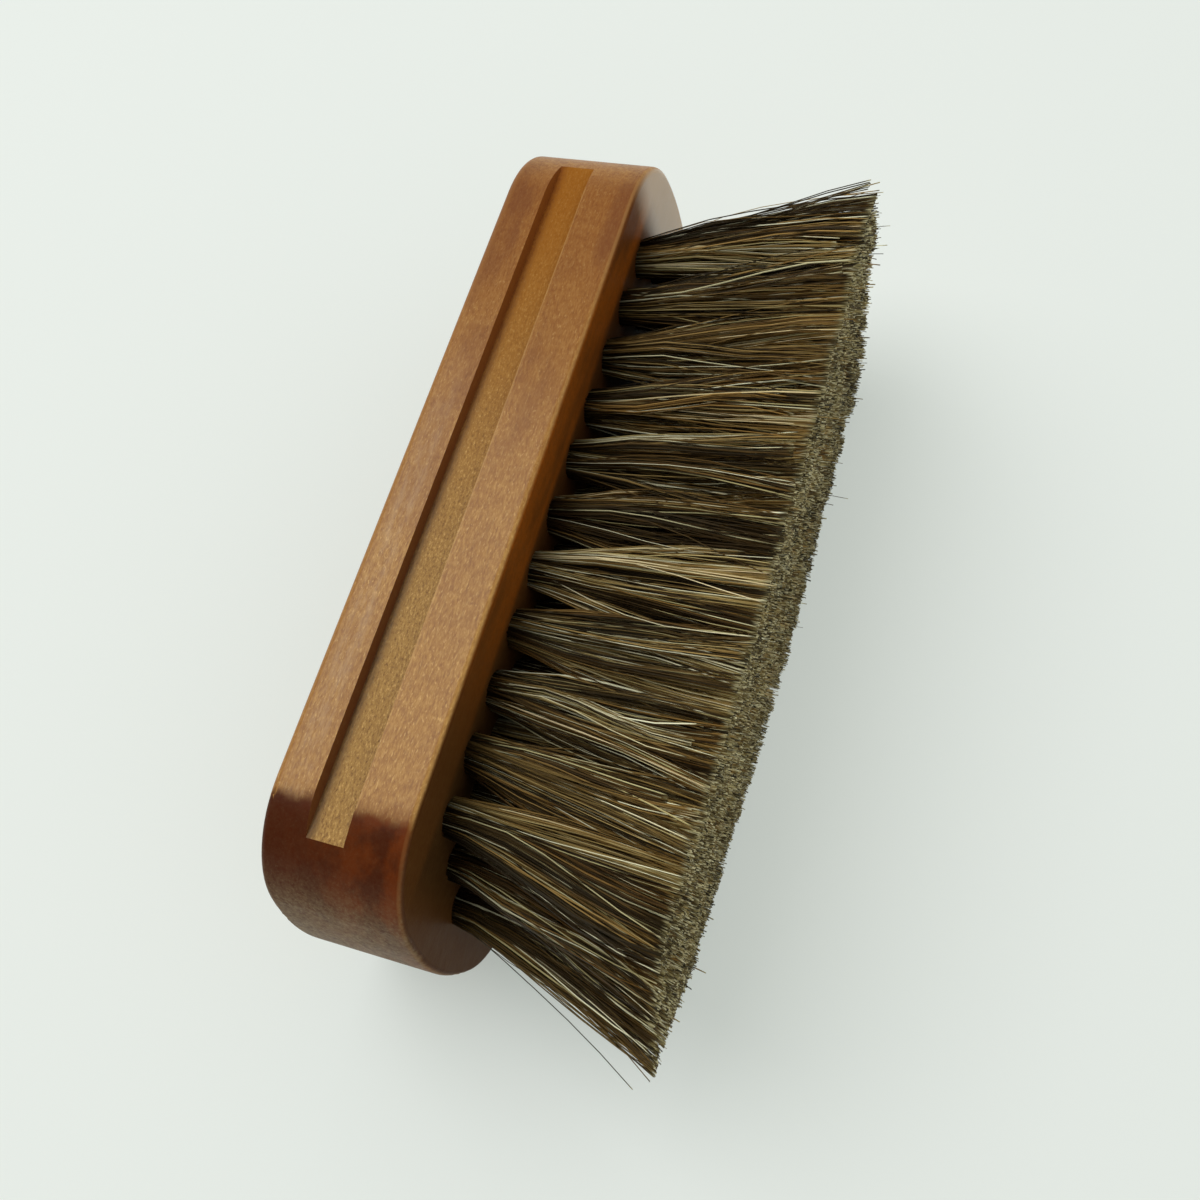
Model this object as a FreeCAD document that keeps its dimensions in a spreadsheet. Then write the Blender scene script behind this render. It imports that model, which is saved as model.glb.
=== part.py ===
import FreeCAD, Part
import Sketcher
import math
import os

# Shoe shine brush, lying on one long side: a stained wooden block with a finger groove along
# each side, and five staggered rows of horsehair tufts. Each tuft is folded round a flat steel
# anchor, which is driven to the bottom of the tuft's hole and bites into the wood there.
# Millimetres. +X runs along the block, the bristles point to -Y and +Z is up. The origin is on
# the surface that the brush lies on, below the middle of the brush.

SIZES = {
    # wooden block: outline with two long arcs for ends and four corner arcs
    "block_length": 110.6,
    "block_width": 43.0,
    "block_thickness": 17.6,
    "corner_radius": 13.0,
    "end_radius": 40.0,
    "back_round": 1.0,
    "face_round": 0.8,
    # finger groove, placed from the bristle face, with leaning walls
    "groove_offset": 7.0,
    "groove_width": 5.2,
    "groove_depth": 1.3,
    "groove_draft": 0.3,
    # tuft holes in the bristle face: wood left past the outermost holes, then the hole itself
    "end_margin": 6.2,
    "side_margin": 7.2,
    "hole_diameter": 4.6,
    "hole_depth": 11.0,
    # horsehair tufts: trimmed flat, and spread by these shares of their places at the face
    "trim_length": 28.0,
    "bundle_clearance": 0.1,
    "tuft_gap": 0.3,
    "along_spread_share": 1.12,
    "across_spread_share": 1.33,
    # steel anchors, with the hair folded below them
    "anchor_thickness": 0.4,
    "anchor_height": 2.0,
    "anchor_bite": 0.4,
    "fold_height": 1.8,
}

# Counts: the middle row is the longest, and each row further out has one tuft fewer.
ROW_LETTERS = "abcde"
MIDDLE_ROW = len(ROW_LETTERS) // 2
MIDDLE_ROW_TUFTS = 13

# Numbers that a sketch gives to an edge's points, and to its own X axis and origin.
START, STOP, CENTRE = range(1, 4)
X_AXIS, ORIGIN = -1, (-1, START)

# Sizes worked out from the sheet, as expressions.
TUFT_PITCH = (
    f"(Sizes.block_length - 2 * Sizes.end_margin - Sizes.hole_diameter) / {MIDDLE_ROW_TUFTS - 1}"
)
ROW_PITCH = (
    f"(Sizes.block_width - 2 * Sizes.side_margin - Sizes.hole_diameter) / {len(ROW_LETTERS) - 1}"
)
TIP_PITCH = f"Sizes.along_spread_share * {TUFT_PITCH}"
TIP_ROW_PITCH = f"Sizes.across_spread_share * {ROW_PITCH}"
TIP_DIAMETER = f"min({TIP_PITCH}; hypot({TIP_PITCH} / 2; {TIP_ROW_PITCH})) - Sizes.tuft_gap"
BUNDLE_RADIUS = "Sizes.hole_diameter / 2 - Sizes.bundle_clearance"
FOLD_LEVEL = "Sizes.hole_depth - Sizes.bundle_clearance"
ANCHOR_LENGTH = "Sizes.hole_diameter + 2 * Sizes.anchor_bite"
ANCHOR_LEVEL = "Sizes.hole_depth - Sizes.fold_height - Sizes.anchor_height"

document = FreeCAD.newDocument("shoe_shine_brush")


def make_sheet():
    """Put every driving size into its own cell, with its name as the cell's alias."""
    sheet = document.addObject("Spreadsheet::Sheet", "Sizes")
    for line, (alias, value) in enumerate(SIZES.items(), start=1):
        sheet.set(f"A{line}", alias)
        sheet.set(f"B{line}", str(value))
        sheet.setAlias(f"B{line}", alias)
    document.recompute()
    return sheet


sheet = make_sheet()


def size(alias):
    """Give a driving size as a number, for a sketch's first shape."""
    return float(sheet.get(alias))


def bind(feature, expressions):
    """Bind each named property of a feature to its expression."""
    for path, expression in expressions.items():
        feature.setExpression(path, expression)


def lay_on_side(node):
    """Move a node from the block's frame, with its zero on the bristle face, to the brush's."""
    bind(node, {
        "Placement.Base.y": "(Sizes.trim_length - Sizes.block_thickness) / 2",
        "Placement.Base.z": "Sizes.block_width / 2",
    })
    return node


def row_places(row):
    """Give the places of a row's tufts, each as expressions for x and z in the block's frame."""
    rows_out = row - MIDDLE_ROW
    count = MIDDLE_ROW_TUFTS - abs(rows_out)
    steps = [number - (count - 1) / 2 for number in range(count)]
    return [(f"{step} * {TUFT_PITCH}", f"{rows_out} * {ROW_PITCH}") for step in steps]


def origin_feature(body, role):
    """Find a plane or axis of a body's own origin."""
    return next(item for item in body.Origin.OriginFeatures if item.Role == role)


def sketch_on(body, role, name):
    """Start a sketch on one of a body's origin planes."""
    sketch = body.newObject("Sketcher::SketchObject", name)
    sketch.AttachmentSupport = [(origin_feature(body, role), "")]
    sketch.MapMode = "FlatFace"
    return sketch


def dimension(sketch, name, expression, *constraint):
    """Add a named dimension to a sketch and bind it to its expression."""
    index = sketch.addConstraint(Sketcher.Constraint(*constraint))
    sketch.renameConstraint(index, name)
    sketch.setExpression(f"Constraints.{name}", expression)


def add_polygon(sketch, corners):
    """Draw straight edges round a list of corners, joined end to end, and number them."""
    edges = [Part.LineSegment(a, b) for a, b in zip(corners, corners[1:] + corners[:1])]
    sketch.addGeometry(edges)
    for edge in range(len(edges)):
        following = (edge + 1) % len(edges)
        sketch.addConstraint(Sketcher.Constraint("Coincident", edge, STOP, following, START))
    return range(len(edges))


def flat_face_at(shape, level):
    """Name the flat face of a shape that lies across Y at a level."""
    tolerance = Part.Precision.confusion()
    for number, face in enumerate(shape.Faces, start=1):
        box = face.BoundBox
        if max(abs(box.YMin - level), abs(box.YMax - level)) < tolerance:
            return f"Face{number}"
    raise RuntimeError(f"no flat face at {level}")


def outline_sketch(body):
    """Draw the block's outline: straight sides, corner arcs and long end arcs, all tangent."""
    half_length = size("block_length") / 2
    half_width = size("block_width") / 2
    corner = size("corner_radius")
    end = size("end_radius")
    end_x = half_length - end
    corner_z = half_width - corner
    corner_x = end_x + math.sqrt((end - corner) ** 2 - corner_z ** 2)
    meet = math.atan2(corner_z, corner_x - end_x)
    quarter = math.pi / 2

    def arc(x, z, radius, start, stop):
        circle = Part.Circle(FreeCAD.Vector(x, z, 0), FreeCAD.Vector(0, 0, 1), radius)
        return Part.ArcOfCircle(circle, start, stop)

    def side(z, start_x):
        return Part.LineSegment(FreeCAD.Vector(start_x, z, 0), FreeCAD.Vector(-start_x, z, 0))

    sketch = sketch_on(body, "XZ_Plane", "outline")
    edges = [
        side(-half_width, -corner_x),
        arc(corner_x, -corner_z, corner, -quarter, -meet),
        arc(end_x, 0, end, -meet, meet),
        arc(corner_x, corner_z, corner, meet, quarter),
        side(half_width, corner_x),
        arc(-corner_x, corner_z, corner, quarter, math.pi - meet),
        arc(-end_x, 0, end, math.pi - meet, math.pi + meet),
        arc(-corner_x, -corner_z, corner, math.pi + meet, math.pi + quarter),
    ]
    sketch.addGeometry(edges)
    lower, lower_right, right, upper_right, upper, upper_left, left, lower_left = range(len(edges))
    for edge in range(len(edges)):
        following = (edge + 1) % len(edges)
        sketch.addConstraint(Sketcher.Constraint("Tangent", edge, STOP, following, START))
    for straight in (lower, upper):
        sketch.addConstraint(Sketcher.Constraint("Horizontal", straight))
    for other in (upper_right, upper_left, lower_left):
        sketch.addConstraint(Sketcher.Constraint("Equal", lower_right, other))
    sketch.addConstraint(Sketcher.Constraint("Equal", right, left))
    sketch.addConstraint(Sketcher.Constraint("Symmetric", lower, START, upper, STOP, X_AXIS))
    sketch.addConstraint(Sketcher.Constraint("Symmetric", left, CENTRE, right, CENTRE, *ORIGIN))
    dimension(sketch, "corner", "Sizes.corner_radius", "Radius", lower_right, corner)
    dimension(sketch, "end", "Sizes.end_radius", "Radius", right, end)
    dimension(sketch, "across", "Sizes.block_width",
              "DistanceY", lower, START, upper, STOP, 2 * half_width)
    dimension(sketch, "between_ends", "Sizes.block_length - 2 * Sizes.end_radius",
              "DistanceX", left, CENTRE, right, CENTRE, 2 * end_x)
    return sketch


def groove_sketch(body):
    """Draw the groove's section in the upper side: a floor between two leaning walls."""
    side_z = size("block_width") / 2
    floor_z = side_z - size("groove_depth")
    front = size("groove_offset")
    back = front + size("groove_width")
    draft = size("groove_draft")
    corners = [
        FreeCAD.Vector(front, side_z, 0),
        FreeCAD.Vector(front + draft, floor_z, 0),
        FreeCAD.Vector(back - draft, floor_z, 0),
        FreeCAD.Vector(back, side_z, 0),
    ]
    sketch = sketch_on(body, "YZ_Plane", "groove_section")
    front_wall, floor, back_wall, mouth = add_polygon(sketch, corners)
    for straight in (floor, mouth):
        sketch.addConstraint(Sketcher.Constraint("Horizontal", straight))
    dimension(sketch, "offset", "Sizes.groove_offset",
              "DistanceX", *ORIGIN, front_wall, START, front)
    dimension(sketch, "side", "Sizes.block_width / 2",
              "DistanceY", *ORIGIN, front_wall, START, side_z)
    dimension(sketch, "width", "Sizes.groove_width",
              "DistanceX", mouth, STOP, mouth, START, back - front)
    dimension(sketch, "depth", "Sizes.groove_depth",
              "DistanceY", front_wall, STOP, front_wall, START, side_z - floor_z)
    dimension(sketch, "front_lean", "Sizes.groove_draft",
              "DistanceX", front_wall, START, front_wall, STOP, draft)
    dimension(sketch, "back_lean", "Sizes.groove_draft",
              "DistanceX", back_wall, START, back_wall, STOP, draft)
    return sketch


def slit_sketch(body, letter, x, z):
    """Draw the slit that an anchor bites into a hole's wall, at the level of its upper edge."""
    half_length = size("hole_diameter") / 2 + size("anchor_bite")
    half_thickness = size("anchor_thickness") / 2
    corners = [
        FreeCAD.Vector(-half_length, -half_thickness, 0),
        FreeCAD.Vector(half_length, -half_thickness, 0),
        FreeCAD.Vector(half_length, half_thickness, 0),
        FreeCAD.Vector(-half_length, half_thickness, 0),
    ]
    sketch = sketch_on(body, "XZ_Plane", f"slit_section_{letter}")
    lower, right, upper, left = add_polygon(sketch, corners)
    for straight in (lower, upper):
        sketch.addConstraint(Sketcher.Constraint("Horizontal", straight))
    for upright in (left, right):
        sketch.addConstraint(Sketcher.Constraint("Vertical", upright))
    sketch.addConstraint(Sketcher.Constraint("Symmetric", lower, START, upper, START, *ORIGIN))
    dimension(sketch, "length", ANCHOR_LENGTH,
              "DistanceX", lower, START, lower, STOP, 2 * half_length)
    dimension(sketch, "thickness", "Sizes.anchor_thickness",
              "DistanceY", right, START, right, STOP, 2 * half_thickness)
    bind(sketch, {
        "AttachmentOffset.Base.x": x,
        "AttachmentOffset.Base.y": z,
        "AttachmentOffset.Base.z": f"-({ANCHOR_LEVEL})",
    })
    return sketch


def hole_row(body, row):
    """Drill a row of tuft holes, each with the slit that its anchor bites into the wall."""
    letter = ROW_LETTERS[row]
    places = row_places(row)
    first_x, row_z = places[0]
    radius = size("hole_diameter") / 2
    sketch = sketch_on(body, "XZ_Plane", f"hole_circle_{letter}")
    circle = Part.Circle(FreeCAD.Vector(0, 0, 0), FreeCAD.Vector(0, 0, 1), radius)
    hole_edge = sketch.addGeometry(circle)
    sketch.addConstraint(Sketcher.Constraint("Coincident", hole_edge, CENTRE, *ORIGIN))
    dimension(sketch, "radius", "Sizes.hole_diameter / 2", "Radius", hole_edge, radius)
    bind(sketch, {"AttachmentOffset.Base.x": first_x, "AttachmentOffset.Base.y": row_z})

    hole = body.newObject("PartDesign::Pocket", f"hole_{letter}")
    hole.Profile = sketch
    hole.Type = "Length"
    bind(hole, {"Length": "Sizes.hole_depth"})

    slit = body.newObject("PartDesign::Pocket", f"anchor_slit_{letter}")
    slit.Profile = slit_sketch(body, letter, first_x, row_z)
    slit.Type = "Length"
    bind(slit, {"Length": "Sizes.anchor_height"})

    pattern = body.newObject("PartDesign::LinearPattern", f"hole_row_{letter}")
    pattern.Originals = [hole, slit]
    pattern.Direction = (origin_feature(body, "X_Axis"), [""])
    pattern.Mode = "Spacing"
    pattern.Occurrences = len(places)
    bind(pattern, {"Offset": TUFT_PITCH})
    body.Tip = pattern
    document.recompute()
    return pattern


def anchor_sizes(x, z):
    """Give a flat anchor's sizes and its place in the block's frame, as expressions."""
    return {
        "Length": ANCHOR_LENGTH,
        "Width": "Sizes.anchor_height",
        "Height": "Sizes.anchor_thickness",
        "Placement.Base.x": f"{x} - ({ANCHOR_LENGTH}) / 2",
        "Placement.Base.y": ANCHOR_LEVEL,
        "Placement.Base.z": f"{z} - Sizes.anchor_thickness / 2",
    }


def require_cut(before, after, least):
    """Stop if a cut took less wood away than its size says."""
    taken = before.Shape.Volume - after.Shape.Volume
    if taken < least:
        raise RuntimeError(f"{after.Name} took {taken:.1f} mm3, less than {least:.1f} mm3")


def make_block():
    """Make the wooden block: rounded outline, finger grooves and tuft holes."""
    body = document.addObject("PartDesign::Body", "handle_block")
    pad = body.newObject("PartDesign::Pad", "plank")
    pad.Profile = outline_sketch(body)
    pad.Reversed = True
    bind(pad, {"Length": "Sizes.block_thickness"})
    document.recompute()

    back = body.newObject("PartDesign::Fillet", "back_edge")
    back.Base = (pad, [flat_face_at(pad.Shape, size("block_thickness"))])
    bind(back, {"Radius": "Sizes.back_round"})
    document.recompute()

    arris = body.newObject("PartDesign::Fillet", "face_edge")
    arris.Base = (back, [flat_face_at(back.Shape, 0)])
    bind(arris, {"Radius": "Sizes.face_round"})
    document.recompute()

    groove = body.newObject("PartDesign::Pocket", "upper_groove")
    groove.Profile = groove_sketch(body)
    groove.Type = "ThroughAll"
    groove.SideType = "Symmetric"
    document.recompute()

    grooves = body.newObject("PartDesign::Mirrored", "both_grooves")
    grooves.Originals = [groove]
    grooves.MirrorPlane = (origin_feature(body, "XY_Plane"), [""])
    body.Tip = grooves
    document.recompute()

    section = (size("groove_width") - size("groove_draft")) * size("groove_depth")
    straight = size("block_length") - 2 * size("corner_radius")
    require_cut(arris, groove, section * straight)
    require_cut(groove, grooves, section * straight)

    hole_volume = math.pi * (size("hole_diameter") / 2) ** 2 * size("hole_depth")
    last = grooves
    for row in range(len(ROW_LETTERS)):
        pattern = hole_row(body, row)
        require_cut(last, pattern, len(row_places(row)) * hole_volume)
        last = pattern
    return lay_on_side(body)


def make_anchor(x, z, name):
    """Make one flat steel anchor in the block's frame."""
    anchor = document.addObject("Part::Box", name)
    bind(anchor, anchor_sizes(x, z))
    return anchor


def tuft_ring(name, x, y, z, radius):
    """Draw one of the round sections that a tuft passes through, across Y."""
    ring = document.addObject("Part::Circle", name)
    across_y = FreeCAD.Rotation(FreeCAD.Vector(1, 0, 0), 90)
    ring.Placement = FreeCAD.Placement(FreeCAD.Vector(0, 0, 0), across_y)
    bind(ring, {
        "Radius": radius,
        "Placement.Base.x": x,
        "Placement.Base.y": y,
        "Placement.Base.z": z,
    })
    return ring


def make_tuft(x, z, anchor, name):
    """Make one tuft: tight in its hole, open towards the trimmed tips, folded round its anchor."""
    tip_x = f"Sizes.along_spread_share * {x}"
    tip_z = f"Sizes.across_spread_share * {z}"
    flare = document.addObject("Part::Loft", f"{name}_flare")
    flare.Sections = [
        tuft_ring(f"{name}_fold", x, FOLD_LEVEL, z, BUNDLE_RADIUS),
        tuft_ring(f"{name}_mouth", x, "0", z, BUNDLE_RADIUS),
        tuft_ring(f"{name}_tips", tip_x, "-Sizes.trim_length", tip_z, f"({TIP_DIAMETER}) / 2"),
    ]
    flare.Solid = True
    flare.Ruled = True
    tuft = document.addObject("Part::Cut", name)
    tuft.Base = flare
    tuft.Tool = anchor
    return tuft


def make_group(name, members):
    """Group solids of one kind into a node."""
    group = document.addObject("Part::Compound", name)
    group.Links = members
    return lay_on_side(group)


def make_tufts():
    """Make every tuft and anchor. The two tufts alone at the brush's ends share a node."""
    nodes = []
    anchors = []
    end_tufts = []
    for row, letter in enumerate(ROW_LETTERS):
        places = row_places(row)
        for number, (x, z) in enumerate(places, start=1):
            name = f"tuft_{letter}{number:02d}"
            anchor = make_anchor(x, z, f"anchor_{letter}{number:02d}")
            anchors.append(anchor)
            tuft = make_tuft(x, z, anchor, name)
            if row == MIDDLE_ROW and number in (1, len(places)):
                end_tufts.append(tuft)
            else:
                nodes.append(lay_on_side(tuft))
    nodes.append(make_group("tufts_ends", end_tufts))
    nodes.append(make_group("anchors", anchors))
    return nodes


def check_document(nodes):
    """Stop if any feature failed or any node has no sound solid."""
    for item in document.Objects:
        if "Invalid" in item.State or "Error" in item.State:
            raise RuntimeError(f"{item.Name} failed: {item.State}")
    for node in nodes:
        if node.Shape.isNull() or not node.Shape.isValid() or not node.Shape.Solids:
            raise RuntimeError(f"{node.Label} has no sound solid")


def main():
    nodes = [make_block()] + make_tufts()
    document.recompute()
    check_document(nodes)
    os.makedirs("parts", exist_ok=True)
    for node in nodes:
        node.Shape.exportStep(os.path.join("parts", f"{node.Label}.step"))
    solids = sum(len(node.Shape.Solids) for node in nodes)
    print(f"{len(nodes)} nodes, {solids} solids")


main()
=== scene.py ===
import math

import bpy
import numpy as np
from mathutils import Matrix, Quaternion, Vector


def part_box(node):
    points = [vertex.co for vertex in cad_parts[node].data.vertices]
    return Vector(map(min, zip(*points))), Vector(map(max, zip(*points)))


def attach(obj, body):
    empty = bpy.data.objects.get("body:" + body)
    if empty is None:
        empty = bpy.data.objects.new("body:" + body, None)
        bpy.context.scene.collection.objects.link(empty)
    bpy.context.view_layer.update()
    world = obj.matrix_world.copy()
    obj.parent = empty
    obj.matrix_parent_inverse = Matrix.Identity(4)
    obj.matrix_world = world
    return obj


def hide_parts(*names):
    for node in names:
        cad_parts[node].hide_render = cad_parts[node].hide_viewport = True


# A shoe shine brush lying on its side: a stained and lacquered wooden block, and horsehair tufts
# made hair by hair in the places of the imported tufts. Everything is in metres, in the part's own frame.

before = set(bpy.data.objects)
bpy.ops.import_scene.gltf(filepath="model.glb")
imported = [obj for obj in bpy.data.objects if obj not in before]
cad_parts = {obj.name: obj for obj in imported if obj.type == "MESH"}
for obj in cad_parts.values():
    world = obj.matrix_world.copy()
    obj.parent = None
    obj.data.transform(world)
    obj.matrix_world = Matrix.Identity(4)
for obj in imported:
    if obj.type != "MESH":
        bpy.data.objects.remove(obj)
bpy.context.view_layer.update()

MM = 0.001
BLOCK = "handle_block"
ANCHORS = "anchors"
TUFTS = sorted(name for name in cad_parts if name.startswith("tuft"))

block_low, block_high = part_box(BLOCK)
HALF_LENGTH = block_high.x
HALF_WIDTH = (block_high.z - block_low.z) / 2
MID_HEIGHT = (block_high.z + block_low.z) / 2
FACE_Y = block_low.y
BACK_Y = block_high.y
MID_DEPTH = (FACE_Y + BACK_Y) / 2


# Camera, from the photograph's perspective.
CAMERA_PLACE = Vector((-60.9, -46.4, 166.4)) * MM
CAMERA_AIM = Vector((-4.7, 0.5, 20.0)) * MM
CAMERA_ROLL_DEGREES = -25.34
CAMERA_LENS = 37.5
CAMERA_SENSOR = 36.0
CAMERA_NEAREST = 1 * MM


def add_camera():
    data = bpy.data.cameras.new("camera")
    data.lens = CAMERA_LENS
    data.sensor_width = CAMERA_SENSOR
    data.clip_start = CAMERA_NEAREST
    camera = bpy.data.objects.new("camera", data)
    bpy.context.scene.collection.objects.link(camera)
    facing = (CAMERA_AIM - CAMERA_PLACE).to_track_quat("-Z", "Y")
    roll = Quaternion((0, 0, 1), math.radians(CAMERA_ROLL_DEGREES))
    camera.rotation_mode = "QUATERNION"
    camera.rotation_quaternion = facing @ roll
    camera.location = CAMERA_PLACE
    bpy.context.scene.camera = camera


# Shader nodes.
class Nodes:
    """The node tree of a material or a world, with short ways to add and link nodes."""

    def __init__(self, owner):
        owner.use_nodes = True
        self.owner = owner
        self.tree = owner.node_tree

    def add(self, kind, **settings):
        node = self.tree.nodes.new(kind)
        for name, value in settings.items():
            setattr(node, name, value)
        return node

    def link(self, source, target):
        self.tree.links.new(source, target)

    def feed(self, socket, value):
        """Give a socket its value: another socket, a colour or a number."""
        if isinstance(value, bpy.types.NodeSocket):
            self.link(value, socket)
        elif isinstance(value, tuple):
            socket.default_value = (*value, 1.0)
        else:
            socket.default_value = value

    def math(self, operation, *values):
        """One Math node; each value is a socket or a number."""
        node = self.add("ShaderNodeMath", operation=operation)
        for socket, value in zip(node.inputs, values):
            self.feed(socket, value)
        return node.outputs[0]

    def times(self, first, second):
        return self.math("MULTIPLY", first, second)

    def scaled(self, value, scale, start):
        """Start plus scale times the value."""
        return self.math("MULTIPLY_ADD", value, scale, start)

    def outside(self, mask):
        return self.math("SUBTRACT", 1.0, mask)

    def step(self, value, low, high):
        """A smooth step: 0 below low, 1 above high. High may be the lower number."""
        node = self.add("ShaderNodeMapRange", interpolation_type="SMOOTHSTEP")
        self.link(value, node.inputs["Value"])
        node.inputs["From Min"].default_value = low
        node.inputs["From Max"].default_value = high
        return node.outputs["Result"]

    def near_to(self, value, level, width):
        """1 at a level and close to it, 0 from a width away."""
        apart_by = self.math("ABSOLUTE", self.math("SUBTRACT", value, level))
        return self.step(apart_by, low=width, high=width / 4)

    def separate(self, vector):
        node = self.add("ShaderNodeSeparateXYZ")
        self.link(vector, node.inputs["Vector"])
        return [node.outputs[axis] for axis in "XYZ"]


class Material(Nodes):
    """A new material, with its Principled shader and the object's own coordinates."""

    def __init__(self, name):
        super().__init__(bpy.data.materials.new(name))
        self.shader = self.tree.nodes["Principled BSDF"]
        self.place = self.add("ShaderNodeTexCoord").outputs["Object"]

    def set(self, name, value):
        self.feed(self.shader.inputs[name], value)

    def attribute(self, name):
        return self.add("ShaderNodeAttribute", attribute_name=name).outputs["Fac"]

    def noise(self, per_mm, detail, roughness=0.55):
        """Noise with so many cells per millimetre along X, Y and Z."""
        mapping = self.add("ShaderNodeMapping")
        mapping.inputs["Scale"].default_value = [count / MM for count in per_mm]
        self.link(self.place, mapping.inputs["Vector"])
        node = self.add("ShaderNodeTexNoise")
        node.inputs["Scale"].default_value = 1.0
        node.inputs["Detail"].default_value = detail
        node.inputs["Roughness"].default_value = roughness
        self.link(mapping.outputs["Vector"], node.inputs["Vector"])
        return node.outputs["Fac"]

    def ramp(self, value, stops):
        """A colour ramp with stops of (place, colour)."""
        node = self.add("ShaderNodeValToRGB")
        elements = node.color_ramp.elements
        while len(elements) < len(stops):
            elements.new(1.0)
        for element, (place, colour) in zip(elements, stops):
            element.position = place
            element.color = (*colour, 1.0)
        self.link(value, node.inputs["Fac"])
        return node.outputs["Color"]

    def mix(self, share, first, second, blend="MIX"):
        """Mix two colours; each colour is a socket or a tuple."""
        node = self.add("ShaderNodeMix", data_type="RGBA", blend_type=blend)
        share_socket, first_socket, second_socket = node.inputs[0], node.inputs[6], node.inputs[7]
        self.feed(share_socket, share)
        self.feed(first_socket, first)
        self.feed(second_socket, second)
        return node.outputs[2]

    def lay(self, colour, over, *masks, share=1.0):
        """Lay a colour over another one where all the masks are, as far as the share says."""
        where = masks[0]
        for mask in masks[1:]:
            where = self.times(where, mask)
        return self.mix(self.times(where, share), colour, over)

    def bump(self, height, strength, distance):
        node = self.add("ShaderNodeBump")
        node.inputs["Strength"].default_value = strength
        node.inputs["Distance"].default_value = distance
        self.link(height, node.inputs["Height"])
        self.link(node.outputs["Normal"], self.shader.inputs["Normal"])


def linear(red, green, blue):
    """A colour as a screen shows it, 0 to 255, as linear light."""
    def channel(value):
        share = value / 255
        return share / 12.92 if share <= 0.04045 else ((share + 0.055) / 1.055) ** 2.4
    return tuple(channel(value) for value in (red, green, blue))


# Wood: brown-stained, close-grained, under satin lacquer.
WOOD_LIGHT = linear(188, 141, 74)
WOOD_MID = linear(166, 116, 51)
WOOD_DARK = linear(138, 88, 33)
WOOD_DEEP = linear(124, 58, 2)
WOOD_BLOTCH = linear(112, 58, 20)
WOOD_FLECK = linear(104, 64, 28)
WOOD_GLINT = linear(216, 172, 102)
WOOD_GROOVE = linear(164, 130, 70)
WOOD_GROOVE_DEEP = linear(166, 102, 22)
# Stain and painted shade at the foot of the groove's back wall.
WOOD_POOL_SHADE = linear(54, 25, 14)
WOOD_POOL_SHADE_THIN = linear(112, 56, 18)
# Stain and painted shade on the groove's walls.
WOOD_WALL_SHADE = linear(88, 44, 22)
WOOD_WALL_SHADE_THIN = linear(128, 70, 26)
WOOD_END = linear(70, 26, 6)
WOOD_END_STREAK = linear(102, 43, 8)
# Dust and painted sheen on the stained end.
WOOD_END_DUST_SHEEN = linear(148, 126, 90)
WOOD_END_SPECK = linear(164, 142, 106)
WOOD_FACE = linear(72, 41, 17)
WOOD_FACE_DEEP = linear(138, 70, 14)
# Painted shade among the tufts.
WOOD_FACE_AMONG_SHADE = linear(40, 25, 13)
WOOD_FACE_THIN = linear(178, 136, 82)
WOOD_EDGE = linear(158, 104, 46)
# Pale scuffs with painted sheen.
WOOD_SCUFF_SHEEN = linear(194, 164, 130)
GROOVE_OFFSET = 7.0 * MM
GROOVE_WIDTH = 5.2 * MM
GROOVE_TOP = 0.2 * MM
GROOVE_LOW = 0.7 * MM
GROOVE_WALL_Y = FACE_Y + GROOVE_OFFSET + GROOVE_WIDTH
POOL_SHADE_WIDTH = 1.8 * MM
LIP_WIDTH = 0.25 * MM
EDGE_ROUND = 0.8 * MM
STRIP_FROM = GROOVE_WALL_Y + EDGE_ROUND
STRIP_TO = BACK_Y - 1.5 * EDGE_ROUND
TUFTS_FROM_EDGE = 5.6 * MM
TUFTS_FROM_END = 3.5 * MM
WOOD_BUMP = 0.05 * MM
END_FACING = 0.1
NOISE_MEAN = 0.5
STAIN_WAVER = 0.2

# Where a feature of the wood begins and where it is full, along the block and then across it.
DEEP_FROM = -0.4 * HALF_LENGTH
DEEP_TO = 0.9 * HALF_LENGTH
SCUFF_SHEEN_FROM = 0.4 * HALF_LENGTH
SCUFF_SHEEN_TO = -0.2 * HALF_LENGTH
FACE_DEEP_FROM = -0.7 * HALF_LENGTH
FACE_DEEP_TO = -0.1 * HALF_LENGTH
FACE_THIN_FROM = 0.72 * HALF_LENGTH
FACE_THIN_TO = 0.88 * HALF_LENGTH
AMONG_FROM_END = HALF_LENGTH - TUFTS_FROM_END
AMONG_TO_END = HALF_LENGTH - 3 * TUFTS_FROM_END
AMONG_FROM_SIDE = HALF_WIDTH - TUFTS_FROM_EDGE
AMONG_TO_SIDE = HALF_WIDTH - 1.3 * TUFTS_FROM_EDGE
BACK_EDGE_FROM = BACK_Y - 1.7 * EDGE_ROUND
BACK_EDGE_TO = BACK_Y - EDGE_ROUND


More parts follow.
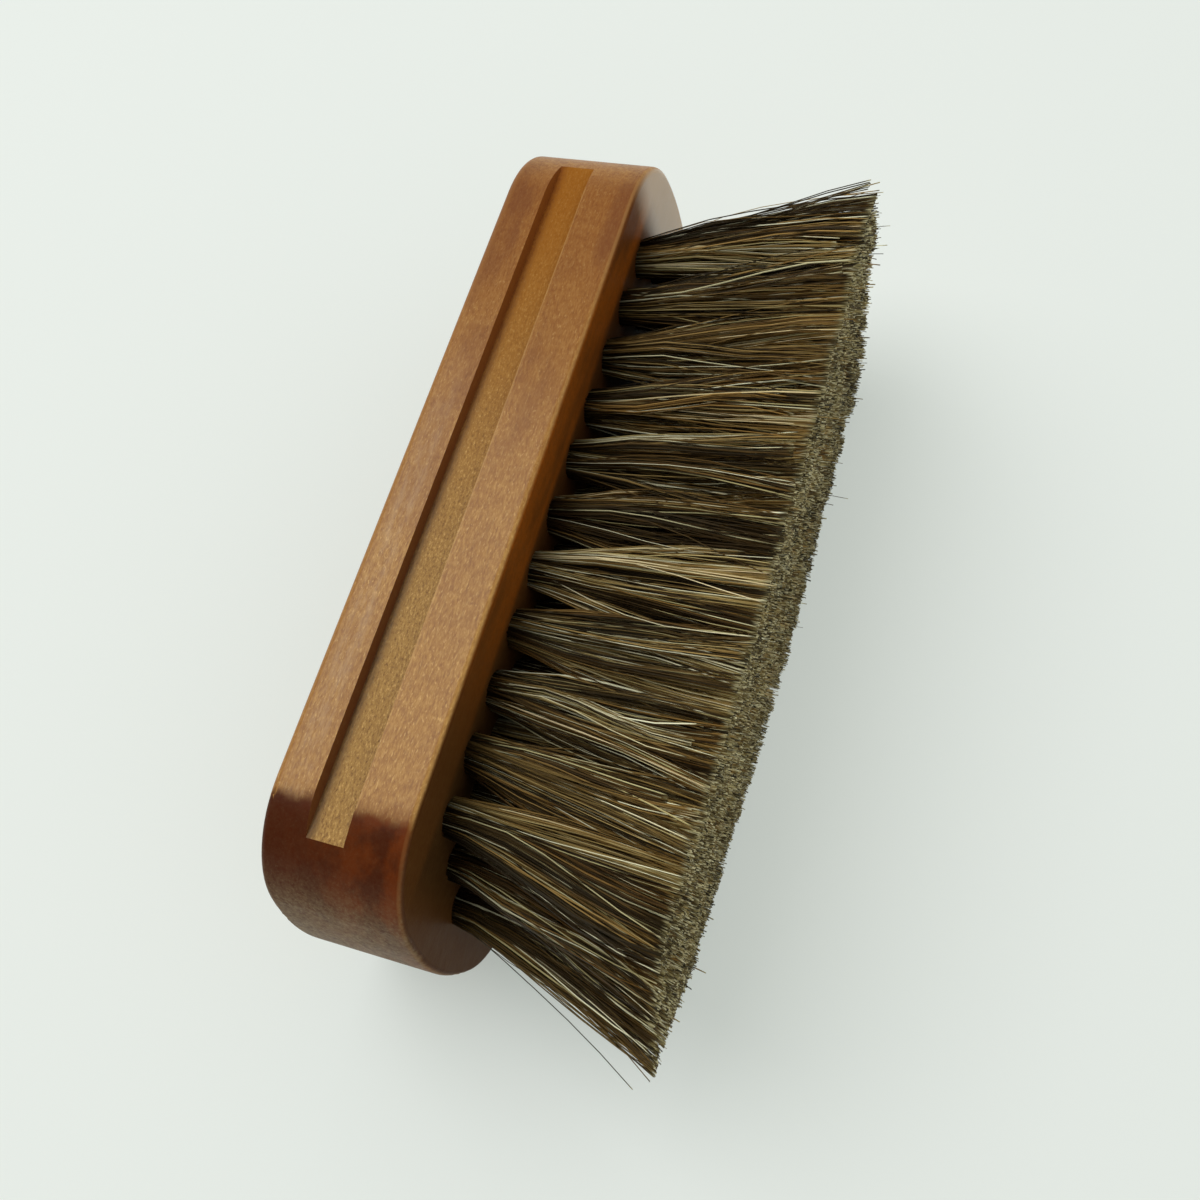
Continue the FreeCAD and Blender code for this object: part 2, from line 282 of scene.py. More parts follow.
class Wood(Material):
    """The block's material. Each layer takes the colour so far and returns it with one more feature."""

    def __init__(self):
        super().__init__("stained_wood")
        self.x, self.y, self.z = self.separate(self.place)
        normal = self.add("ShaderNodeNewGeometry").outputs["Normal"]
        self.along, self.across, self.up = (self.math("ABSOLUTE", part) for part in self.separate(normal))
        self.from_middle = self.math("ABSOLUTE", self.math("SUBTRACT", self.z, MID_HEIGHT))
        self.grain = self.noise(per_mm=(1.2, 3.8, 3.8), detail=4.0, roughness=0.65)
        self.blotches = self.noise(per_mm=(0.06, 0.2, 0.2), detail=4.0)
        self.specks = self.noise(per_mm=(3.0, 3.0, 3.0), detail=4.0, roughness=0.7)
        self.mottle = self.noise(per_mm=(1.5, 1.5, 1.5), detail=5.0, roughness=0.75)
        self.streaks = self.noise(per_mm=(0.25, 0.3, 0.12), detail=4.0)

        # Masks: stain deeper towards one end, the groove's flat sunk floor, end grain, the bristle face.
        deeper = self.step(self.x, low=DEEP_FROM, high=DEEP_TO)
        last = self.step(self.x, low=DEEP_TO, high=HALF_LENGTH)
        self.deep = self.times(deeper, self.scaled(last, scale=-0.6, start=1.0))
        sunk = self.step(self.from_middle, low=HALF_WIDTH - GROOVE_TOP, high=HALF_WIDTH - GROOVE_LOW)
        sunk = self.times(sunk, self.math("LESS_THAN", self.along, END_FACING))
        self.groove_floor = self.times(sunk, self.step(self.up, low=0.9, high=0.97))
        waver = self.times(self.math("SUBTRACT", self.streaks, NOISE_MEAN), STAIN_WAVER)
        self.wavering = self.math("ADD", self.along, waver)
        facing_along = self.step(self.wavering, low=0.04, high=0.2)
        self.end_grain = self.times(facing_along, self.outside(self.groove_floor))
        stained_end = self.step(self.x, low=HALF_LENGTH / 2, high=-HALF_LENGTH / 2)
        self.end_stain = self.times(self.end_grain, stained_end)
        face = self.step(self.y, low=FACE_Y + EDGE_ROUND, high=FACE_Y)
        self.face = self.times(face, self.step(self.across, low=0.5, high=0.95))
        self.face_thin = self.step(self.x, low=FACE_THIN_FROM, high=FACE_THIN_TO)

    def lay_grain(self):
        """Close grain, with short dark ray flecks, fine light glints and faint cutter marks across it."""
        colour = self.ramp(self.grain, [(0.3, WOOD_DARK), (0.5, WOOD_MID), (0.72, WOOD_LIGHT)])
        flecks = self.noise(per_mm=(0.6, 3.4, 3.4), detail=2.0)
        colour = self.lay(colour, WOOD_FLECK, self.step(flecks, low=0.56, high=0.74), share=0.35)
        glints = self.noise(per_mm=(1.8, 4.6, 4.6), detail=1.0)
        colour = self.lay(colour, WOOD_GLINT, self.step(glints, low=0.58, high=0.76), share=0.6)
        marks = self.noise(per_mm=(1.1, 0.08, 0.08), detail=2.0)
        return self.lay(colour, WOOD_DARK, self.step(marks, low=0.4, high=0.65), share=0.2)

    def lay_stain(self, colour):
        """Stain takes unevenly: deeper towards one end, and in blotches, most of them there."""
        colour = self.lay(colour, WOOD_DEEP, self.deep, share=0.58)
        blotched = self.step(self.blotches, low=0.45, high=0.66)
        return self.lay(colour, WOOD_BLOTCH, blotched, self.scaled(self.deep, scale=0.55, start=0.12))

    def lay_groove(self, colour):
        """The groove's floor kept less stain, apart from a ragged dark band along its back wall, stain and
        painted shade both; the walls get stain and painted shade too.
        """
        floor_colour = self.mix(self.deep, WOOD_GROOVE, WOOD_GROOVE_DEEP)
        colour = self.lay(colour, floor_colour, self.groove_floor, share=0.5)
        grit = self.noise(per_mm=(1.8, 3.6, 3.6), detail=4.0, roughness=0.75)
        gritty = self.times(self.groove_floor, self.scaled(self.deep, scale=-0.8, start=1.0))
        colour = self.lay(colour, WOOD_FLECK, gritty, self.step(grit, low=0.5, high=0.32), share=0.8)
        colour = self.lay(colour, WOOD_GLINT, gritty, self.step(grit, low=0.53, high=0.7), share=0.85)
        # Stain and painted shade darken a ragged band of the floor at the foot of the back wall.
        uneven = self.math("SUBTRACT", self.math("ADD", self.grain, grit), 2 * NOISE_MEAN)
        ragged = self.math("ADD", self.y, self.times(uneven, POOL_SHADE_WIDTH))
        pool_shade = self.step(ragged, low=GROOVE_WALL_Y - POOL_SHADE_WIDTH, high=GROOVE_WALL_Y)
        pool_shade_colour = self.mix(self.deep, WOOD_POOL_SHADE, WOOD_POOL_SHADE_THIN)
        colour = self.lay(colour, pool_shade_colour, self.groove_floor, pool_shade, share=0.9)
        # The walls are painted dark: stain and painted shade.
        wall = self.times(self.step(self.across, low=0.9, high=0.96), self.step(self.up, low=0.1, high=0.2))
        return self.lay(colour, self.mix(self.deep, WOOD_WALL_SHADE, WOOD_WALL_SHADE_THIN), wall, share=0.9)

    def lay_ends(self, colour):
        """One end's grain drank stain and, where it is steep, has dust and painted sheen. The other's is worn
        pale and porous.
        """
        streaked = self.step(self.streaks, low=0.35, high=0.62)
        to_face = self.step(self.y, low=BACK_Y, high=FACE_Y + EDGE_ROUND)
        end_colour = self.lay(WOOD_END, WOOD_END_STREAK, streaked, to_face)
        # Where the end turns steep, its pale colour is dust and painted sheen, a reflection of the floor.
        steep = self.scaled(self.step(self.up, low=0.84, high=0.1), scale=0.8, start=0.06)
        from_face = self.step(self.y, low=FACE_Y, high=MID_DEPTH)
        steep = self.times(steep, self.scaled(from_face, scale=0.2, start=0.8))
        dust_and_sheen = self.step(self.mottle, low=0.15, high=0.8)
        end_colour = self.lay(end_colour, WOOD_END_DUST_SHEEN, dust_and_sheen, steep)
        specked = self.step(self.specks, low=0.54, high=0.72)
        end_colour = self.lay(end_colour, WOOD_END_SPECK, specked, steep, share=0.35)
        colour = self.lay(colour, end_colour, self.end_stain)

        worn = self.step(self.wavering, low=0.05, high=0.5)
        worn = self.times(worn, self.step(self.x, low=0.0, high=HALF_LENGTH / 2))
        colour = self.lay(colour, WOOD_LIGHT, worn, self.step(self.mottle, low=0.25, high=0.75), share=0.55)
        return self.lay(colour, WOOD_BLOTCH, worn, self.step(self.specks, low=0.48, high=0.3), share=0.4)

    def lay_scuffs_and_sheen(self, colour):
        """The rounded back edge is redder, and the strip before it is scuffed pale towards one end, with
        painted sheen.
        """
        back_edge = self.step(self.y, low=BACK_EDGE_FROM, high=BACK_EDGE_TO)
        colour = self.lay(colour, WOOD_EDGE, back_edge, self.outside(self.end_stain), share=0.35)
        # Pale scuffs on the back strip, with painted sheen standing for the glare of the lacquer.
        scuffs_and_sheen = self.noise(per_mm=(0.25, 0.9, 0.9), detail=5.0, roughness=0.7)
        return self.lay(
            colour,
            WOOD_SCUFF_SHEEN,
            self.step(self.y, low=STRIP_FROM, high=STRIP_FROM + EDGE_ROUND),
            self.step(self.y, low=STRIP_TO, high=STRIP_TO - EDGE_ROUND),
            self.step(self.x, low=SCUFF_SHEEN_FROM, high=SCUFF_SHEEN_TO),
            self.step(scuffs_and_sheen, low=0.35, high=0.7),
            self.outside(self.end_grain),
            share=0.28,
        )

    def lay_face(self, colour):
        """The bristle face is mottled, pale at one end and darkest among the tufts, where painted shade lies.
        """
        face_deep = self.step(self.x, low=FACE_DEEP_FROM, high=FACE_DEEP_TO)
        face_colour = self.mix(face_deep, WOOD_FACE, WOOD_FACE_DEEP)
        blotched = self.step(self.blotches, low=0.42, high=0.66)
        stained = self.scaled(self.deep, scale=0.35, start=blotched)
        face_colour = self.lay(face_colour, WOOD_FACE, stained, share=0.55)
        face_colour = self.lay(face_colour, WOOD_FACE, self.step(self.mottle, low=0.38, high=0.62), share=0.3)
        face_colour = self.lay(face_colour, WOOD_FACE_THIN, self.face_thin)
        # Painted shade darkens the bristle face among the tufts.
        from_sides = self.step(self.from_middle, low=AMONG_FROM_SIDE, high=AMONG_TO_SIDE)
        from_ends = self.step(self.math("ABSOLUTE", self.x), low=AMONG_FROM_END, high=AMONG_TO_END)
        not_thin = self.outside(self.face_thin)
        face_colour = self.lay(face_colour, WOOD_FACE_AMONG_SHADE, from_sides, from_ends, not_thin, share=0.8)
        return self.lay(colour, face_colour, self.face, share=0.92)

    def lay_edge_highlights(self, colour):
        """Painted highlights lie along the bristle face's edge and on the groove's lip."""
        lip = self.near_to(self.y, level=FACE_Y + GROOVE_OFFSET, width=LIP_WIDTH)
        lip = self.times(lip, self.step(self.along, low=0.2, high=0.05))
        edge = self.near_to(self.across, level=0.5, width=0.35)
        by_face = self.step(self.y, low=FACE_Y + 2 * EDGE_ROUND, high=FACE_Y + EDGE_ROUND)
        edge = self.times(edge, by_face)
        # Painted highlight: a light line on the groove's lip and on the bristle face's edge.
        highlighted = self.math("MAXIMUM", self.times(lip, 0.7), self.times(edge, 0.5))
        uneven = self.step(self.blotches, low=0.2, high=0.55)
        share = self.scaled(self.end_stain, scale=-0.2, start=0.34)
        return self.lay(colour, WOOD_GLINT, highlighted, uneven, share)

    def lacquer(self):
        """Lacquer is half worn off the sides, thinner in the groove, on dark end grain and on the bristle
        face, and whole on that face's far end."""
        coat = self.scaled(self.deep, scale=-0.2, start=0.5)
        coat = self.scaled(self.groove_floor, scale=-0.3, start=coat)
        coat = self.scaled(self.end_stain, scale=-0.45, start=coat)
        coat = self.scaled(self.face, scale=-0.45, start=coat)
        coat = self.scaled(self.times(self.face, self.face_thin), scale=1.4, start=coat)
        return self.math("MINIMUM", self.math("MAXIMUM", coat, 0.0), 1.0)


def wood_material():
    wood = Wood()
    colour = wood.lay_grain()
    colour = wood.lay_stain(colour)
    colour = wood.lay_groove(colour)
    colour = wood.lay_ends(colour)
    colour = wood.lay_scuffs_and_sheen(colour)
    colour = wood.lay_face(colour)
    colour = wood.lay_edge_highlights(colour)
    wood.set("Base Color", colour)
    wear = wood.noise(per_mm=(0.3, 0.6, 0.6), detail=4.0)
    wood.set("Roughness", wood.scaled(wear, scale=0.25, start=0.35))
    wood.set("Specular IOR Level", 0.04)
    wood.set("Coat Weight", wood.lacquer())
    wood.set("Coat Roughness", 0.2)
    relief = wood.math("ADD", wood.grain, wood.times(wood.specks, wood.end_grain))
    wood.bump(relief, strength=0.4, distance=WOOD_BUMP)
    return wood.owner


# Anchors: rolled steel strip.
STEEL_DARK = linear(150, 150, 148)
STEEL_LIGHT = linear(190, 190, 186)
STEEL_BUMP = 0.02 * MM


def anchor_material():
    steel = Material("anchor_steel")
    rolled = steel.noise(per_mm=(0.4, 6.0, 6.0), detail=3.0)
    steel.set("Base Color", steel.ramp(rolled, [(0.3, STEEL_DARK), (0.7, STEEL_LIGHT)]))
    steel.set("Metallic", 1.0)
    steel.set("Roughness", 0.35)
    steel.bump(rolled, strength=0.2, distance=STEEL_BUMP)
    return steel.owner


def dress(node, material):
    """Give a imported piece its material."""
    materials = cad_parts[node].data.materials
    materials.clear()
    materials.append(material)


# Horsehair: number and thickness of the hairs.
HAIRS_PER_TUFT = 720
LOCKS_PER_TUFT = 24
HAIR_RINGS = 7
HAIR_SIDES = 3
HAIR_RADIUS = 0.076 * MM
HAIR_RADIUS_SPREAD = 0.024 * MM
HAIR_TIP_SHARE = 0.9
HAIR_SUNK = 2.0 * MM
SEED = 7
GOLDEN_ANGLE = math.pi * (3 - math.sqrt(5))
TURN_SPREAD = 0.3
RING_TOLERANCE = 0.01 * MM
BAKE_MAP = "OFBake"
BAKE_MARGIN = 0.1

# How they lean and bend. The end values act towards the two ends of the brush.
FAN_SHARES = np.array([1.4, 1.05])
LOCK_PULL_SHARE = 0.34
LOCK_SHIFT = 0.9 * MM
HAIR_SHIFT = 0.36 * MM
STRAY_SHARE = 0.055
STRAY_SHIFT = 2.3 * MM
SHIFT_LIMIT = 1.5
END_STRAY_SHARE = 0.08
END_FROM_SHARE = 0.6
END_TO_SHARE = 0.85
END_CALM_SHARE = 0.45
END_EASING = 0.25
END_REACH = 2.4 * MM
SPLAY = 0.7 * MM
EASINGS = (0.8, 1.2)
LOCK_BOW = 0.5 * MM
LOCK_WAVE = 0.3 * MM
HAIR_BOW = 0.22 * MM
HAIR_WAVE = 0.1 * MM
STRAY_BOW = 0.8 * MM
FLOOR_LIFT = 1.5 * MM

# How they are trimmed.
LOCK_UNEVEN = 0.15 * MM
TRIM_INSET = 0.25 * MM
TRIM_UNEVEN = 0.1 * MM
SHORT_LOCK_SHARE = 0.1
SHORT_LOCK_BY = 4.0 * MM
SHORT_SHARE = 0.05
SHORT_BY = 1.6 * MM
LONG_SHARE = 0.1
LONG_LEAST = 0.15
LONG_BY = 0.35 * MM
WORN_BY = 2.6 * MM
LEFT_BY = 2.0 * MM

# Their colours: a tone from 0, dark, to 1, pale, and a warmth.
LOCK_TONES = (0.0, 0.78)
LOCK_WARMTHS = (0.0, 0.9)
TONE_SPREAD = 0.2
TONE_MIDDLE = 0.4
TONE_PLACES = (-0.85, -0.3, 0.85)
TONE_SHIFTS = (-0.07, 0.04, -0.03)
TONE_CONTRASTS = (0.65, 1.0, 0.9)
PALE_SHARE = 0.1
PALE_TONES = (0.8, 1.0)
CUT_SCATTER = 97.0
CUT_SHARE = 0.85
HAIR_GLOSS = linear(246, 228, 180)
HAIR_WARMTH = (1.0, 0.76, 0.54)
HAIR_COLOURS = [
    (0.00, linear(34, 26, 16)),
    (0.22, linear(54, 42, 25)),
    (0.42, linear(92, 73, 40)),
    (0.58, linear(132, 109, 62)),
    (0.72, linear(162, 140, 88)),
    (0.84, linear(184, 174, 124)),
    (0.95, linear(236, 232, 198)),
]
CUT_COLOURS = [
    (0.00, linear(30, 25, 14)),
    (0.40, linear(86, 74, 42)),
    (0.70, linear(163, 148, 97)),
    (1.00, linear(240, 231, 186)),
]


def hair_material():
    hair = Material("horsehair")
    shade, along, warm = (hair.attribute(f"hair_{name}") for name in ("shade", "along", "warm"))
    colour = hair.ramp(shade, HAIR_COLOURS)
    colour = hair.mix(warm, colour, HAIR_WARMTH, blend="MULTIPLY")
    # Painted shade makes the hairs darker at the root and near the floor; they are lighter towards the tip.
    clear = hair.scaled(hair.step(along, low=0.0, high=0.4), scale=0.65, start=0.3)
    clear = hair.scaled(hair.step(along, low=0.5, high=1.0), scale=0.35, start=clear)
    height = hair.separate(hair.place)[2]
    lit = hair.scaled(hair.step(height, low=0.0, high=MID_HEIGHT), scale=0.35, start=0.65)
    colour = hair.mix(1.0, colour, hair.times(clear, lit), blend="MULTIPLY")
    # The cut ends are pale and dark by turns.
    scattered = hair.math("FRACT", hair.times(shade, CUT_SCATTER))
    cut = hair.mix(1.0, hair.ramp(scattered, CUT_COLOURS), lit, blend="MULTIPLY")
    hair.set("Base Color", hair.lay(colour, cut, hair.step(along, low=0.97, high=1.0), share=CUT_SHARE))
    hair.set("Roughness", 0.45)
    hair.set("Specular IOR Level", 0.3)
    hair.set("Specular Tint", HAIR_GLOSS)
    return hair.owner


def bundles_of(node):
    """The root and tip circles of each tuft in a node: centres as (x, z), and radii."""
    points = np.array([vertex.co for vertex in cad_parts[node].data.vertices])
    whole = points[:, 0].max() - points[:, 0].min() < HALF_LENGTH
    groups = [points] if whole else [points[points[:, 0] < 0], points[points[:, 0] > 0]]
    bundles = []
    for group in groups:
        level = group[:, 1]
        ends = []
        for end_level in (level.max(), level.min()):
            ring = group[np.isclose(level, end_level, atol=RING_TOLERANCE)][:, [0, 2]]
            low, high = ring.min(0), ring.max(0)
            ends += [(low + high) / 2, (high[0] - low[0]) / 2]
        bundles.append(ends)
    return bundles


class Tuft:
    """One tuft's hairs. The steps draw from the generator in the order of the methods."""

    def __init__(self, rng, bundle, tip_y):
        self.rng = rng
        self.tip_y = tip_y
        self.root_centre, self.root_radius, self.tip_centre, self.tip_radius = bundle
        self.place = self.root_centre[0] / HALF_LENGTH
        self.side = np.sign(self.place)
        # Endness rises from 0 towards the brush's ends, where locks and strays are calmer.
        self.endness = max(0, abs(self.place) - END_FROM_SHARE) / (END_TO_SHARE - END_FROM_SHARE)
        self.calm = 1 - END_CALM_SHARE * self.endness

    def normal(self, spread, *shape):
        """Random numbers round 0."""
        return self.rng.normal(0, spread, shape)

    def chance(self, share, count=HAIRS_PER_TUFT):
        """Which of the hairs or locks belong to a share of them, at random."""
        return self.rng.random(count) < share

    def gather(self):
        """Hairs of one lock lean together and are about as long. No lock leans over the brush's ends."""
        count = np.arange(HAIRS_PER_TUFT)
        reach = np.sqrt((count + 0.5) / HAIRS_PER_TUFT)
        turn = count * GOLDEN_ANGLE + self.normal(TURN_SPREAD, HAIRS_PER_TUFT)
        disc = reach[:, None] * np.c_[np.cos(turn), np.sin(turn)]
        locks = disc[self.rng.choice(HAIRS_PER_TUFT, LOCKS_PER_TUFT, replace=False)]
        self.lock = np.argmin(((disc[:, None] - locks[None]) ** 2).sum(2), axis=1)
        lock_shift = self.normal(LOCK_SHIFT, LOCKS_PER_TUFT, 2) * self.calm
        outward = np.maximum(lock_shift[:, 0] * self.side, 0)
        lock_shift[:, 0] -= outward * self.side * self.endness
        lock_short = self.normal(LOCK_UNEVEN, LOCKS_PER_TUFT)
        short_lock = self.chance(SHORT_LOCK_SHARE, LOCKS_PER_TUFT)
        lock_short += short_lock * self.rng.uniform(0, SHORT_LOCK_BY, LOCKS_PER_TUFT)
        self.shortened = lock_short[self.lock]
        gathered = disc + LOCK_PULL_SHARE * (locks[self.lock] - disc)
        self.root = self.root_centre + disc * self.root_radius
        self.tip = self.tip_centre + gathered * self.tip_radius * FAN_SHARES + lock_shift[self.lock]

    def stray(self):
        """More hairs stray at the brush's ends, and lean outwards there."""
        self.strays = self.chance(STRAY_SHARE + END_STRAY_SHARE * self.endness)
        shift = np.clip(self.normal(1, *self.tip.shape), -SHIFT_LIMIT, SHIFT_LIMIT)
        self.tip += shift * np.where(self.strays, STRAY_SHIFT * self.calm, HAIR_SHIFT)[:, None]
        reach = self.rng.uniform(0, END_REACH, HAIRS_PER_TUFT)
        self.tip[:, 0] += self.strays * reach * self.endness * self.side
        self.tip[:, 0] -= SPLAY * self.endness * (self.place < 0)

    def trim(self):
        """A few hairs are short or long. One lower corner of the brush is worn, its upper side left long."""
        short = self.chance(SHORT_SHARE)
        trimmed = self.tip_y + TRIM_INSET + self.shortened + self.normal(TRIM_UNEVEN, HAIRS_PER_TUFT)
        trimmed += short * self.rng.exponential(SHORT_BY, HAIRS_PER_TUFT)
        long = self.chance(LONG_SHARE * max(LONG_LEAST, self.place))
        trimmed -= long * self.rng.exponential(LONG_BY, HAIRS_PER_TUFT)
        along_brush = np.clip(self.tip[:, 0] / HALF_LENGTH, -1, 1)
        raised = np.clip((self.tip[:, 1] - MID_HEIGHT) / HALF_WIDTH, -1, 1)
        trimmed += WORN_BY * np.maximum(-along_brush, 0) * np.maximum(-raised, 0)
        trimmed -= LEFT_BY * np.sqrt(1 + along_brush.clip(None, 0)) * np.maximum(raised, 0)
        self.trimmed = np.minimum(trimmed, (FACE_Y + self.tip_y) / 2)

    def bend(self):
        """Centre lines of the hairs as an array of hairs, rings and coordinates."""
        self.along = np.linspace(0, 1, HAIR_RINGS)
        start_y = FACE_Y + HAIR_SUNK
        y = start_y + (self.trimmed[:, None] - start_y) * self.along
        out = np.clip((FACE_Y - y) / (FACE_Y - self.tip_y), 0, 1)
        easing = self.rng.uniform(*EASINGS, (HAIRS_PER_TUFT, 1)) - END_EASING * self.endness * self.side
        leaning = out ** easing
        bow = self.normal(1, HAIRS_PER_TUFT, 2)
        bow *= np.where(self.strays, STRAY_BOW * self.calm, HAIR_BOW)[:, None]
        bow += self.normal(LOCK_BOW, LOCKS_PER_TUFT, 2)[self.lock] * self.calm
        wave = self.normal(HAIR_WAVE, HAIRS_PER_TUFT, 2)
        wave += self.normal(LOCK_WAVE, LOCKS_PER_TUFT, 2)[self.lock]
        hump, ripple = np.sin(np.pi * out), np.sin(2 * np.pi * out)
        self.paths = np.empty((HAIRS_PER_TUFT, HAIR_RINGS, 3))
        for axis, coordinate in ((0, 0), (2, 1)):
            lean = (self.tip - self.root)[:, coordinate, None] * leaning
            bent = bow[:, coordinate, None] * hump + wave[:, coordinate, None] * ripple
            self.paths[:, :, axis] = self.root[:, coordinate, None] + lean + bent
        self.paths[:, :, 1] = y

    def press(self):
        """The lowest hairs bend along the floor."""
        height = self.paths[:, :, 2] - HAIR_RADIUS
        pressed = FLOOR_LIFT * np.exp(np.minimum(height - FLOOR_LIFT, 0) / FLOOR_LIFT)
        self.paths[:, :, 2] = np.where(height < FLOOR_LIFT, pressed, height) + HAIR_RADIUS

    def tint(self):
        """Hairs of one lock are about as dark and as warm, apart from a few pale ones."""
        shade = self.rng.uniform(*LOCK_TONES, LOCKS_PER_TUFT)[self.lock]
        shade = shade + self.normal(TONE_SPREAD, HAIRS_PER_TUFT)
        contrast = np.interp(self.place, TONE_PLACES, TONE_CONTRASTS)
        shade = TONE_MIDDLE + (shade - TONE_MIDDLE) * contrast
        shade += np.interp(self.place, TONE_PLACES, TONE_SHIFTS)
        pale = self.chance(PALE_SHARE)
        shade = np.where(pale, self.rng.uniform(*PALE_TONES, HAIRS_PER_TUFT), shade)
        self.shade = np.clip(shade, 0, 1)
        self.warm = np.where(pale, 0.0, self.rng.uniform(*LOCK_WARMTHS, LOCKS_PER_TUFT)[self.lock])

    def grow(self):
        """The hairs' paths, the place along them, their shades and warmths."""
        for step in (self.gather, self.stray, self.trim, self.bend, self.press, self.tint):
            step()
        return self.paths, np.broadcast_to(self.along, self.paths.shape[:2]), self.shade, self.warm


def hair_tubes(paths, along, rng):
    """Corner points of thin three-sided tubes round the paths."""
    hairs = len(paths)
    radius = np.clip(rng.normal(HAIR_RADIUS, HAIR_RADIUS_SPREAD, hairs), HAIR_RADIUS / 2, None)
    thinning = 1 + (HAIR_TIP_SHARE - 1) * along
    corner = np.arange(HAIR_SIDES) * 2 * np.pi / HAIR_SIDES + rng.uniform(0, 2 * np.pi, (hairs, 1))
    offset = np.stack([np.cos(corner), np.zeros_like(corner), np.sin(corner)], axis=2)
    size = (radius[:, None] * thinning)[:, :, None, None]
    return paths[:, :, None, :] + offset[:, None] * size


def hair_faces(hairs, rings):
    """Corner indices of all the hairs' quads and caps, and the size of each face."""
    side = np.arange(HAIR_SIDES)
    following = (side + 1) % HAIR_SIDES
    ring = np.arange(rings - 1)[:, None] * HAIR_SIDES
    quads = np.stack([ring + side, ring + following, ring + HAIR_SIDES + following,
                      ring + HAIR_SIDES + side], axis=2).reshape(-1, 4)
    caps = np.r_[side[::-1], (rings - 1) * HAIR_SIDES + side]
    first = np.arange(hairs)[:, None] * rings * HAIR_SIDES
    loops = np.concatenate([first + quads.ravel(), first + caps], axis=1)
    sizes = np.r_[np.full(len(quads), 4), HAIR_SIDES, HAIR_SIDES]
    return loops.ravel(), np.tile(sizes, hairs)


def hair_map(hairs, rings):
    """Each hair has a cell of its own in the map: round the hair across, along the hair upwards."""
    side = np.arange(HAIR_SIDES)
    quad_u = np.stack([side, side + 1, side + 1, side], axis=1) / HAIR_SIDES
    quad_u = np.tile(quad_u, (rings - 1, 1))
    step = np.arange(rings - 1)[:, None, None]
    quad_v = np.broadcast_to(step + np.array([0, 0, 1, 1]), (rings - 1, HAIR_SIDES, 4)) / rings
    cap_u = np.array([0.0, 1.0, 0.5])
    cell_u = np.r_[quad_u.ravel(), cap_u, cap_u]
    cell_v = np.r_[quad_v.ravel(), 0, 0, 0, np.array([rings - 1, rings - 1, rings]) / rings]
    cell = np.stack([cell_u, cell_v], axis=1) * (1 - 2 * BAKE_MARGIN) + BAKE_MARGIN
    across = math.ceil(math.sqrt(hairs))
    column = np.stack([np.arange(hairs) % across, np.arange(hairs) // across], axis=1)
    return (column[:, None] + cell[None]) / across


def hair_mesh(name, paths, along, shade, warm, rng):
    """Thin closed tubes round the paths, with each hair's shade and warmth and the place along it."""
    hairs, rings = paths.shape[:2]
    per_hair = rings * HAIR_SIDES
    points = hair_tubes(paths, along, rng)
    loops, totals = hair_faces(hairs, rings)

    mesh = bpy.data.meshes.new(name)
    mesh.vertices.add(hairs * per_hair)
    mesh.vertices.foreach_set("co", points.ravel())
    mesh.loops.add(loops.size)
    mesh.loops.foreach_set("vertex_index", loops)
    mesh.polygons.add(len(totals))
    mesh.polygons.foreach_set("loop_start", np.r_[0, np.cumsum(totals)[:-1]])
    mesh.polygons.foreach_set("loop_total", totals)
    mesh.polygons.foreach_set("use_smooth", np.ones(len(totals), bool))

    for attribute, values in (
        ("hair_shade", np.repeat(shade, per_hair)),
        ("hair_along", np.repeat(along.ravel(), HAIR_SIDES)),
        ("hair_warm", np.repeat(warm, per_hair)),
    ):
        layer = mesh.attributes.new(attribute, "FLOAT", "POINT")
        layer.data.foreach_set("value", values.astype(np.float32))

    uv = hair_map(hairs, rings)
    mesh.uv_layers.new(name=BAKE_MAP).data.foreach_set("uv", uv.astype(np.float32).ravel())
    mesh.update(calc_edges=True)
    return mesh


def add_hair():
    rng = np.random.default_rng(SEED)
    material = hair_material()
    for node in TUFTS:
        tip_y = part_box(node)[0].y
        grown = [Tuft(rng, bundle, tip_y).grow() for bundle in bundles_of(node)]
        paths, along, shade, warm = (np.concatenate(part) for part in zip(*grown))
        mesh = hair_mesh(f"hair_{node}", paths, along, shade, warm, rng)
        mesh.materials.append(material)
        hair = bpy.data.objects.new(f"hair_{node}", mesh)
        bpy.context.scene.collection.objects.link(hair)
        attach(hair, "root")
        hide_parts(node)


# Floor and light: a broad lamp overhead, and a room that is dim on one upper side.
FLOOR_COLOUR = linear(240, 241, 239)
FLOOR_GLOW = linear(231, 240, 232)
FLOOR_SIZE = 20.0
FLOOR_GLOW_SHARE = 0.42
KEY_PLACE = Vector((0.1, 0.45, 1.0))
KEY_SIZE = 0.9
KEY_POWER = 5.4
ROOM_COLOUR = linear(232, 236, 232)
ROOM_STRENGTH = 1.0
DIM_DIRECTION = Vector((-0.68, 0.4, 0.61))
DIM_WIDE_DEGREES = 64
DIM_CORE_DEGREES = 22
DIM_SHARE = 0.1
DIM_FROM_HEIGHT = 0.12
DIM_TO_HEIGHT = 0.4


